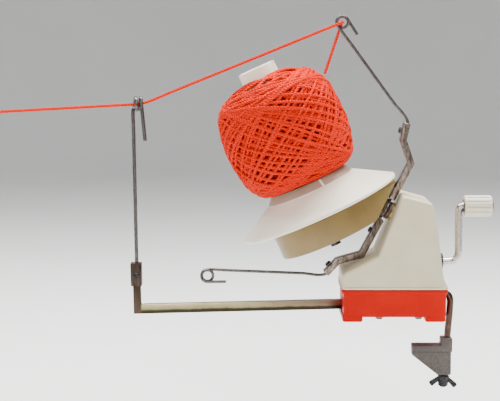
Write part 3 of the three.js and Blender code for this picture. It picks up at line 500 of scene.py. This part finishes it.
def rounded_profile(corners, radius, steps=4):
    """The closed profile with every corner eased by about `radius` millimetres."""
    points = []
    n = len(corners)
    for i, corner in enumerate(corners):
        here, back, ahead = (np.array(corners[k % n], float) for k in (i, i - 1, i + 1))
        to_back, to_ahead = back - here, ahead - here
        reach = min(radius, 0.45 * np.linalg.norm(to_back), 0.45 * np.linalg.norm(to_ahead))
        start = here + to_back / np.linalg.norm(to_back) * reach
        end = here + to_ahead / np.linalg.norm(to_ahead) * reach
        for k in range(steps + 1):
            t = k / steps
            points.append(tuple((1 - t) ** 2 * start + 2 * t * (1 - t) * here + t * t * end))
    return points


def smooth_path(points, step):
    """A centripetal Catmull-Rom curve through the points, cut into steps of about `step` metres."""
    pts = [Vector(p) for p in points]
    pts = [pts[0] * 2 - pts[1]] + pts + [pts[-1] * 2 - pts[-2]]
    dense = []
    for i in range(1, len(pts) - 2):
        p0, p1, p2, p3 = pts[i - 1:i + 3]
        t0 = 0.0
        t1 = t0 + max(1e-9, (p1 - p0).length) ** 0.5
        t2 = t1 + max(1e-9, (p2 - p1).length) ** 0.5
        t3 = t2 + max(1e-9, (p3 - p2).length) ** 0.5
        pieces = max(4, int((p2 - p1).length / (step * 0.4)))
        for k in range(pieces):
            t = t1 + (t2 - t1) * k / pieces
            a1 = p0 * ((t1 - t) / (t1 - t0)) + p1 * ((t - t0) / (t1 - t0))
            a2 = p1 * ((t2 - t) / (t2 - t1)) + p2 * ((t - t1) / (t2 - t1))
            a3 = p2 * ((t3 - t) / (t3 - t2)) + p3 * ((t - t2) / (t3 - t2))
            b1 = a1 * ((t2 - t) / (t2 - t0)) + a2 * ((t - t0) / (t2 - t0))
            b2 = a2 * ((t3 - t) / (t3 - t1)) + a3 * ((t - t1) / (t3 - t1))
            dense.append(b1 * ((t2 - t) / (t2 - t1)) + b2 * ((t - t1) / (t2 - t1)))
    dense.append(pts[-2])
    line = np.array([tuple(p) for p in dense])
    return even_steps(line, step)


def even_steps(line, step):
    gaps = np.linalg.norm(np.diff(line, axis=0), axis=1)
    along = np.concatenate([[0], np.cumsum(gaps)])
    spots = np.linspace(0, along[-1], max(3, int(round(along[-1] / step)) + 1))
    return np.stack([np.interp(spots, along, line[:, k]) for k in range(3)], axis=1)


def sweep(line, section):
    """Rings of points along the line. section(i) gives that ring's (radius, angle) pairs."""
    tangents = np.gradient(line, axis=0)
    tangents /= np.linalg.norm(tangents, axis=1)[:, None]
    side = np.cross(tangents[0], (0.13, 1, 0.21))
    side /= np.linalg.norm(side)
    rings = []
    for i, (centre, tangent) in enumerate(zip(line, tangents)):
        side = side - tangent * side.dot(tangent)
        side /= np.linalg.norm(side)
        other = np.cross(tangent, side)
        rings.append([centre + r * (math.cos(a) * side + math.sin(a) * other) for r, a in section(i)])
    return rings


def circle(radius, sides):
    """A round section for sweep."""
    return [(radius, 2 * math.pi * k / sides) for k in range(sides)]


def skin(rings, loop=False):
    """Points and faces for a tube through the rings, closed at both ends or joined in a loop."""
    n, count = len(rings[0]), len(rings)
    points = [p for ring in rings for p in ring]
    faces = []
    for i in range(count if loop else count - 1):
        a, b = i * n, (i + 1) % count * n
        faces += [(a + k, a + (k + 1) % n, b + (k + 1) % n, b + k) for k in range(n)]
    if not loop:
        faces += [tuple(reversed(range(n))), tuple((count - 1) * n + k for k in range(n))]
    return points, faces


ROD_STEP = 0.0008
ROD_END = 0.825  # the radius of a rod's end ring, as a share of the rod's own


def rod(name, points, radius, look, sides=20, material=None):
    """A round wire with slightly eased ends."""
    line = smooth_path(points, ROD_STEP)
    ends = (0, len(line) - 1)
    rings = sweep(line, lambda i: circle(radius * ROD_END if i in ends else radius, sides))
    return add_mesh(name, *skin(rings), look, material=material)


def plied(line, radius, step, sides=PLY_SIDES):
    """Rings of a three-ply yarn, its plies turning once per PLY_PITCH."""
    def section(i):
        turn = 2 * math.pi * i * step / PLY_PITCH
        return [(r * (0.76 + 0.24 * abs(math.cos(1.5 * (angle - turn))) ** 0.7), angle)
                for r, angle in circle(radius, sides)]

    return sweep(line, section)


def mark_lay(piece, rings, sides, step):
    """Keeps each point's place round and along the yarn, for the twist that the material draws."""
    count = rings * sides
    turn = np.tile(np.arange(sides) * 2 * math.pi / sides, rings)
    lay = np.zeros((len(piece.data.vertices), 3), np.float32)
    lay[:count, 0] = np.cos(turn)
    lay[:count, 1] = np.sin(turn)
    lay[:count, 2] = np.repeat(np.arange(rings) * step, sides)
    attribute = piece.data.attributes.new("lay", "FLOAT_VECTOR", "POINT")
    attribute.data.foreach_set("vector", lay.ravel())


def strand(name, points):
    """A plied yarn through the points, and its centre line."""
    line = smooth_path(points, STRAND_STEP)
    piece = add_mesh(name, *skin(plied(line, YARN_R * MM, STRAND_STEP)), "orange_yarn")
    mark_lay(piece, len(line), PLY_SIDES, STRAND_STEP)
    return piece, line


# ---- yarn strands -------------------------------------------------------------------------------
THROUGH_EYE = [mm(EYE["across"], y, EYE["along"], FLYER) for y in (-2.6, 2, 7)]
NEAR_EYE = mm(EYE["across"], -5, EYE["along"], FLYER)
FAR_EYE = mm(EYE["across"], 9.4, EYE["along"], FLYER)
ON_BALL = mm(-86.8, 6, 194.6)
AT_GUIDE = mm(GUIDE_EYE["x"] + 2.2, 0, GUIDE_EYE["z"])
GUIDE_ENTRY = AT_GUIDE + mm(8, 0, 1.6)
LEAD_START = AT_GUIDE + mm(-0.3, 0, 0)
YARN_OUT = mm(-354, 0, 164.2)


def yarn_strands():
    far_lead = FAR_EYE.lerp(ON_BALL, 0.06)
    to_ball, line = strand("yarn_strand_to_ball", [
        *THROUGH_EYE, far_lead, *(far_lead.lerp(ON_BALL, t) for t in (0.25, 0.5, 0.75)), ON_BALL])
    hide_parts("yarn_to_ball")
    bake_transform(to_ball)

    near_lead = NEAR_EYE.lerp(AT_GUIDE, 0.02)
    start = mm(EYE["across"], -3.3, EYE["along"], FLYER)
    inside = mm(EYE["across"], -4, EYE["along"], FLYER)
    to_guide, line = strand("yarn_strand_to_guide", [
        start, inside, *(near_lead.lerp(GUIDE_ENTRY, t / 8) for t in range(8)), GUIDE_ENTRY, AT_GUIDE])
    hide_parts("yarn_to_guide")
    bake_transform(to_guide)

    lead, line = strand("yarn_strand_lead", [LEAD_START.lerp(YARN_OUT, t / 4) for t in range(5)])
    stand_for(lead, "yarn_lead")
    knot = end_knot()


def end_knot():
    """A tight overhand knot, drawn as a small trefoil of the same yarn."""
    centre = YARN_OUT + mm(-3.4, 0, -0.1)
    size, radius, step, sides, count = 0.62 * MM, 0.85 * MM, 0.0004, 9, 60
    points = []
    for i in range(count):
        t = 2 * math.pi * i / count
        x = size * (math.sin(t) + 2 * math.sin(2 * t))
        y = size * (math.cos(t) - 2 * math.cos(2 * t))
        z = -size * math.sin(3 * t)
        points.append(centre + Vector((z * 1.6, x * 0.9, y * 0.9)))
    line = even_steps(np.array([tuple(p) for p in points + points[:1]]), step)
    piece = add_mesh("yarn_knot", *skin(plied(line, radius, step, sides)), "orange_yarn")
    return stand_for(piece, "yarn_end_knot")


# ---- the ball ------------------------------------------------------------------------------------
WRAPS = 80
WRAP_STEP = 0.0019
WRAP_SIDES = 6
TURN_PER_WRAP = 0.2  # how far the tube turns while the flyer lays one wrap
BALL_DRIFT = 0.0835  # moves each fifth wrap a little on, so that wraps lie side by side
DEPTH_OF_WRAPS = 3.4
START_OF_BALL = 0.9


def ball_radius(height):
    heights, radii = zip(*BALL_PROFILE)
    return np.interp(height, heights, radii)


def winding_line():
    """One continuous yarn in tilted loops whose low side walks round the ball, the last outermost."""
    turn = np.linspace(0, 2 * math.pi * WRAPS, WRAPS * 240)
    share = turn / turn[-1]
    slope = 0.74 + 0.42 * (0.5 - 0.5 * np.cos(0.137 * turn)) ** 1.6
    lift = 1.6 * np.sin(0.71 * turn) + 1.1 * np.sin(0.231 * turn + 1)
    over_top = 2.4 * (0.5 - 0.5 * np.cos(0.113 * turn + 2)) ** 3 * np.clip(1 - 2 * share, 0, 1)
    side = np.cos(turn) - over_top * np.clip(-np.cos(turn), 0, 1) ** 2
    low = np.full(turn.shape, BALL_PROFILE[0][0])
    high = np.full(turn.shape, BALL_PROFILE[-1][0])
    for _ in range(36):
        middle = (low + high) / 2
        over = middle - BALL_MID - lift + slope * ball_radius(middle) * side > 0
        high = np.where(over, middle, high)
        low = np.where(over, low, middle)
    depth = DEPTH_OF_WRAPS * (1 - share) ** 1.3
    waver = 0.25 * np.sin(3.7 * turn) + 0.2 * np.sin(1.9 * turn + 2)
    radius = ball_radius(low) - YARN_R - depth + waver
    round_ball = turn * (1 + TURN_PER_WRAP * (1 + BALL_DRIFT)) + START_OF_BALL
    x = radius * np.cos(round_ball)
    y = radius * np.sin(round_ball)
    line = np.stack([x, y, low], axis=1) * MM
    place = np.array(BOBBIN)
    return even_steps(line @ place[:3, :3].T + place[:3, 3], WRAP_STEP)


def yarn_ball():
    """The wound yarn, round a darker core that stands for painted shade where it shows between the wraps."""
    line = winding_line()
    points, faces = skin(sweep(line, lambda i: circle(YARN_R * MM * 1.02, WRAP_SIDES)))
    core = [(r - DEPTH_OF_WRAPS - 1.3, min(max(t, 57.2), 137.5)) for t, r in BALL_PROFILE]
    core_points, core_faces = revolve(
        [(18.2, 56.4), *core, (18.2, 138)], BOBBIN, 96, offset=len(points))
    ball = add_mesh("wound_yarn_ball", points + core_points, faces + core_faces, "orange_yarn")
    mark_lay(ball, len(line), WRAP_SIDES, WRAP_STEP)
    ball.data.materials.append(CORE_YARN_PAINTED_SHADE)
    for face in ball.data.polygons[len(faces):]:
        face.material_index = 1
    stand_for(ball, "yarn_ball")


# ---- turned and wire pieces ---------------------------------------------------------------------
def winding_cone():
    c = CONE
    wall = c["wall"]
    corners = [
        (c["r"] - 1.8, c["rim"]), (c["r"], c["rim"] + 0.6), (c["r"] - 0.2, c["rim"] + 2.6),
        (c["r"] - 1.6, c["rim_top"] + 0.1), (c["neck"], c["neck_z"]), (c["hub"], c["hub_z"]),
        (c["hub"] - 1, c["hub_z"] + 0.4), (c["bore"], c["hub_z"] + 0.4), (c["bore"], c["hub_z"] - wall),
        (c["hub"] - wall, c["hub_z"] - wall), (c["neck"] - wall, c["neck_z"] - wall),
        (c["r"] - 4, c["rim_top"] - 1.4), (c["r"] - 3.4, c["rim"] + 1),
    ]
    cone = turned("cone_shell", rounded_profile(corners, 0.9, 5), BOBBIN, "white_plastic", 192)
    cone.data.materials.append(SHADED_NECK)
    foot, top = mm(0, 0, c["neck_z"] + 0.5, BOBBIN), mm(0, 0, c["hub_z"] + 2, BOBBIN)
    up = (top - foot).normalized()
    for face in cone.data.polygons:
        if (Vector(face.center) - foot).dot(up) > 0:
            face.material_index = 1
    tab_angle = -73.6 * RAD
    tab = []
    for height, radius in ((c["neck_z"] - 0.2, c["neck"] + 0.1), (c["hub_z"] - 0.6, c["hub"] + 0.5)):
        for rise in (-1.2, 0.55):
            for aside in (-0.9, 0.9):
                r, a = radius + rise, tab_angle + aside / radius
                tab.append(mm(r * math.cos(a), r * math.sin(a), height, BOBBIN))
    faces = [(0, 1, 3, 2), (4, 6, 7, 5), (0, 4, 5, 1), (2, 3, 7, 6), (0, 2, 6, 4), (1, 5, 7, 3)]
    rib = add_mesh("neck_tab", tab, faces, "white_plastic", smooth=False)
    outward(rib)
    rib.parent = cone
    stand_for(cone, "winding_cone")


def bobbin_tube():
    t = TUBE
    corners = [
        (t["r0"] - t["wall"], t["low"]), (t["r0"], t["low"]), (t["r1"], t["top"] - 0.2),
        (t["r1"] - t["wall"], t["top"] - 0.2),
    ]
    tube = turned("yarn_tube", rounded_profile(corners, 0.7, 4), BOBBIN, "white_plastic", 128)
    stand_for(tube, "bobbin_tube")


def crank_knob():
    k = KNOB
    start, end, r, bore = k["start"], k["end"], k["r"], k["bore"]
    corners = [
        (bore, start), (r - 0.6, start), (r, start + 0.7), (r, end - 0.9), (r - 1.1, end), (bore, end)]

    def fluted(radius, z, angle):
        wave = 0.5 + 0.5 * math.cos(k["flutes"] * angle)
        span = min(1.0, max(0.0, min(z - start - 0.8, end - 1.6 - z) / 1.2))
        groove = 1.2 * wave ** 7 * span
        return radius - groove if radius > r - 1.5 else radius

    profile = []
    for a, b in zip(corners, corners[1:] + corners[:1]):
        steps = 14 if abs(b[1] - a[1]) > 10 and a[0] > 5 else 3
        profile += [
            (a[0] + (b[0] - a[0]) * i / steps, a[1] + (b[1] - a[1]) * i / steps) for i in range(steps)]
    knob = turned("fluted_knob", profile, HANDLE, "white_plastic", 240, fluted)
    knob.data.materials[0] = AGED_KNOB
    sharp_by_angle(knob, 40)
    stand_for(knob, "crank_handle")


def crank_rod():
    c = CRANK
    b, x, top = c["lower_bend"], c["arm"], c["throw"]
    route = [(c["inner"], 0), (-20, 0), (0, 0)]
    for i in range(5):
        angle = -math.pi / 2 + i * math.pi / 8
        route.append((x - b + b * math.cos(angle), b + b * math.sin(angle)))
    route.append((x, top / 2))
    b = c["upper_bend"]
    for i in range(5):
        angle = math.pi - i * math.pi / 8
        route.append((x + b + b * math.cos(angle), top - b + b * math.sin(angle)))
    route += [(KNOB["start"] + 8, top), (KNOB["end"] + 1.4, top)]
    points = [mm(px, 0, CRANK_Z / MM + pz) for px, pz in route]
    stand_for(rod("bent_crank_rod", points, c["rod"] * MM, "nickel_plate"), "crank_rod")


def clamp_rod():
    g, exit_z, low, end = GROOVES, CLAMP["exit_z"], CLAMP["low_bend"], CLAMP["end"]
    points = [mm(x, 0, z) for x, z in (
        (-3.2, exit_z), (5.8, exit_z), (11.2, exit_z), (13.4, 17.1), (14.6, 14.2))]
    points += [mm(0, 0, low + (end - low) * i / 4, CLAMP_FRAME) for i in range(5)]
    thread_top = mm(0, 0, g["top"], CLAMP_FRAME).z
    line = smooth_path(points, g["ring"] * MM)
    last = len(line) - 1

    def section(i):
        r = CLAMP["r"] * MM
        if line[i][2] < thread_top:
            r -= g["depth"] * MM * (0.5 - 0.5 * math.cos(2 * math.pi * i * g["ring"] / g["pitch"]))
        return circle(r * 0.8 if i in (0, last) else r, 16)

    rings = sweep(line, section)
    stand_for(add_mesh("bent_clamp_rod", *skin(rings), "dark_steel", material=BROWNED), "clamp_rod")


def coil(centre_of, start, turns, radius, pitch, count):
    """Points of a coil; centre_of(side, ahead, rise) places each from its offsets and its rise."""
    return [
        centre_of(radius * math.cos(start + 2 * math.pi * turns * i / count),
                  radius * math.sin(start + 2 * math.pi * turns * i / count), pitch * turns * i / count)
        for i in range(count + 1)]


def flyer_wires():
    s, v, r = EYE["along"], EYE["across"], EYE["r"]
    # The wire starts under the arm's bend and leaves the arm at the knee.
    start = (ARM_BEND[1] + 1.4, ARM_BEND[0] - 4.4)
    knee = (ARM_END[1] + 1.5, ARM_END[0] - 2.9)
    heading = math.atan2(v - knee[0], s - knee[1])
    side = heading + math.pi / 2
    entry = (v - r * math.sin(side), s - r * math.cos(side))
    flat = [(*start, 0), (*knee, 0)]
    flat += [(knee[0] + (entry[0] - knee[0]) * i / 5, knee[1] + (entry[1] - knee[1]) * i / 5, 0)
             for i in range(1, 5)]
    flat += coil(lambda a, b, y: (v + b, s + a, y),
                 side + math.pi, EYE["turns"], r, COIL_PITCH * WIRE_R, 18)
    end = flat[-1]
    flat += [(end[0] - 5 * i * math.sin(heading), end[1] - 5 * i * math.cos(heading), end[2])
             for i in (1, 2, 3)]
    for name, node, sign in (
            ("upper_arm_wire", "flyer_wire_upper", 1), ("lower_arm_wire", "flyer_wire_lower", -1)):
        points = [mm(sign * px, sign * py, pz, FLYER) for px, pz, py in flat]
        stand_for(rod(name, points, WIRE_R * MM, "nickel_plate", sides=16, material=SPRING_WIRE), node)


# ---- eased copies of the frame's own shapes ------------------------------------------------------
WELD = 2e-6
FLAT_ANGLE = 0.6 * RAD
BEVEL_ANGLE = 38 * RAD  # edges sharper than this are rounded
SMOOTH_ANGLE = 35 * RAD


def eased_copy(node, width, pick=None, segments=2, material=None):
    """The node's shape in a new piece, its sharp edges rounded by `width` millimetres."""
    source = frame["nodes"][node]
    work = bmesh.new()
    work.from_mesh(source.data)
    work.transform(source.matrix_world)
    bmesh.ops.remove_doubles(work, verts=work.verts, dist=WELD)
    bmesh.ops.dissolve_limit(
        work, angle_limit=FLAT_ANGLE, verts=work.verts, edges=work.edges, delimit={"NORMAL"})
    edges = []
    for edge in work.edges:
        if len(edge.link_faces) != 2 or edge.calc_face_angle(0) < BEVEL_ANGLE:
            continue
        if edge.calc_length() < 2.2 * width * MM and pick is None:
            continue
        if pick is None or pick(*(v.co / MM for v in edge.verts)):
            edges.append(edge)
    if width and edges:
        bmesh.ops.bevel(
            work, geom=edges, offset=width * MM, segments=segments, profile=0.5, affect="EDGES",
            clamp_overlap=False)
    bmesh.ops.triangulate(work, faces=[f for f in work.faces if len(f.verts) > 4])
    mesh = bpy.data.meshes.new("eased_" + node)
    work.to_mesh(mesh)
    work.free()
    mesh.polygons.foreach_set("use_smooth", [True] * len(mesh.polygons))
    mesh.set_sharp_from_angle(angle=SMOOTH_ANGLE)
    mesh.materials.append(material or LOOKS[SLOT_OF[node]])
    piece = bpy.data.objects.new("eased_" + node, mesh)
    bpy.context.collection.objects.link(piece)
    return stand_for(piece, node)


# ---- base ---------------------------------------------------------------------------------------
def plan(left, right, depth, corner, steps=8):
    """A rounded rectangle's outline, anticlockwise."""
    outline = []
    corners = ((right, depth, 0), (left, depth, 90), (left, -depth, 180), (right, -depth, 270))
    for cx, cy, start in corners:
        x = cx - math.copysign(corner, cx - (left + right) / 2)
        y = cy - math.copysign(corner, cy)
        for i in range(steps + 1):
            angle = (start + 90 * i / steps) * RAD
            outline.append((x + corner * math.cos(angle), y + corner * math.sin(angle)))
    return outline


def lofted(name, outlines, look, loop=False):
    """Outlines of (x, y) at heights z, joined in order; the last meets the first in a loop."""
    rings = [[mm(x, y, z) for x, y in outline] for outline, z in outlines]
    piece = add_mesh(name, *skin(rings, loop), look)
    outward(piece)
    sharp_by_angle(piece, 50)
    return piece


def tray_plan(grow):
    t = TRAY
    return plan(t["left"] - grow, t["right"] + grow, t["depth"] + grow, max(1.0, 4 + grow))


def base_tray():
    t = TRAY
    side, inner = -t["out"], -t["out"] - 2
    rings = [
        (side - 1.2, t["floor"]), (side - 0.35, t["floor"] + 0.3), (side, t["floor"] + 1.1),
        (side, t["top"] - 0.9), (side + 0.15, t["top"] - 0.2), (-0.25, t["top"] + 0.9),
        (0, t["top"] + 1.5), (0, t["lip"] - 0.7), (-0.25, t["lip"] - 0.15), (-0.7, t["lip"]),
        (inner + 0.4, t["lip"]), (inner, t["lip"] - 0.4), (inner, t["floor"] + 2.6),
        (inner - 0.6, t["floor"] + 2),
    ]
    tray = lofted("moulded_tray", [(tray_plan(g), z) for g, z in rings], "orange_plastic")
    half, depth = FOOT["width"] / 2, t["depth"] - FOOT["inset"]
    sides = [(0, 5.6), (0, 1.3), (-0.25, 0.5), (-0.8, 0.08), (-1.4, 0)]
    for x in (0, FOOT["left"]):
        foot = lofted(
            "foot_rail", [(plan(x - half - g, x + half + g, depth + g, 2.4 + g), z) for g, z in sides],
            "orange_plastic")
        foot.parent = tray
    stand_for(tray, "base_tray")


def cover():
    def perimeter(a, b):
        return min(abs(a.y), abs(b.y)) > 29 and a.y * b.y > 0 and max(a.z, b.z) > 26.6

    eased_copy("housing_cover", 2.2, perimeter, segments=5)
    low, high, out = 26.1, 28.4, -0.1
    section = [(out, low), (out + 0.35, low + 0.5), (out + 0.35, high - 1), (out - 0.1, high - 0.3),
               (out - 0.9, high), (out - 2.2, high), (out - 2.2, low)]
    flange = lofted("cover_flange", [(tray_plan(g), z) for g, z in section], "cream_plastic", loop=True)
    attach(flange, "base")


# ---- guide wire ---------------------------------------------------------------------------------
def guide_wire():
    e = GUIDE_EYE
    sleeve_x = (BAR_FRAME.inverted() @ mm(BAR["out_x"], 0, 4)).x / MM + 3.4
    foot = mm(sleeve_x, 0, 14, BAR_FRAME)
    neck = mm(sleeve_x, 0, 44, BAR_FRAME)
    top = mm(e["x"] - 0.4, 0, e["z"] - e["r"])
    points = [foot] + [neck.lerp(top, i / 6) for i in range(6)]
    points += coil(lambda a, b, rise: mm(top.x / MM + rise, a, e["z"] + b),
                   -math.pi / 2, e["turns"], e["r"], COIL_PITCH * GUIDE_WIRE_R, 24)
    end = points[-1]
    points += [end + mm(1.1 * i, -0.9 * i, -11 * i) for i in (1, 2, 3)]
    wire = rod(
        "guide_eye_wire", points, GUIDE_WIRE_R * MM, "dark_steel", sides=16, material=SPRING_WIRE)
    stand_for(wire, "guide_wire")


yarn_strands()
yarn_ball()
winding_cone()
bobbin_tube()
crank_knob()
crank_rod()
clamp_rod()
flyer_wires()
base_tray()
cover()
guide_wire()
for node, width in (
        ("flyer_arm_upper", 0.5), ("flyer_arm_lower", 0.5), ("flyer_crossbar", 0.3), ("guide_bar", 0.5),
        ("guide_sleeve", 0.6), ("clamp_jaw", 0.8), ("wing_nut", 0.45), ("gear_case", 0.4),
        ("case_lid", 0.4), ("hub_collar", 0.3), ("flyer_hub", 0), ("spindle_nut", 0.3),
        ("handle_retainer", 0.25),
        ("handle_washer", 0.15), ("crank_bush", 0.3)):
    eased_copy(node, width, material=WORN.get(node))

for name, node in frame["nodes"].items():
    if name in SLOT_OF and not node.hide_render:
        node.data.materials.clear()
        node.data.materials.append(LOOKS[SLOT_OF[name]])
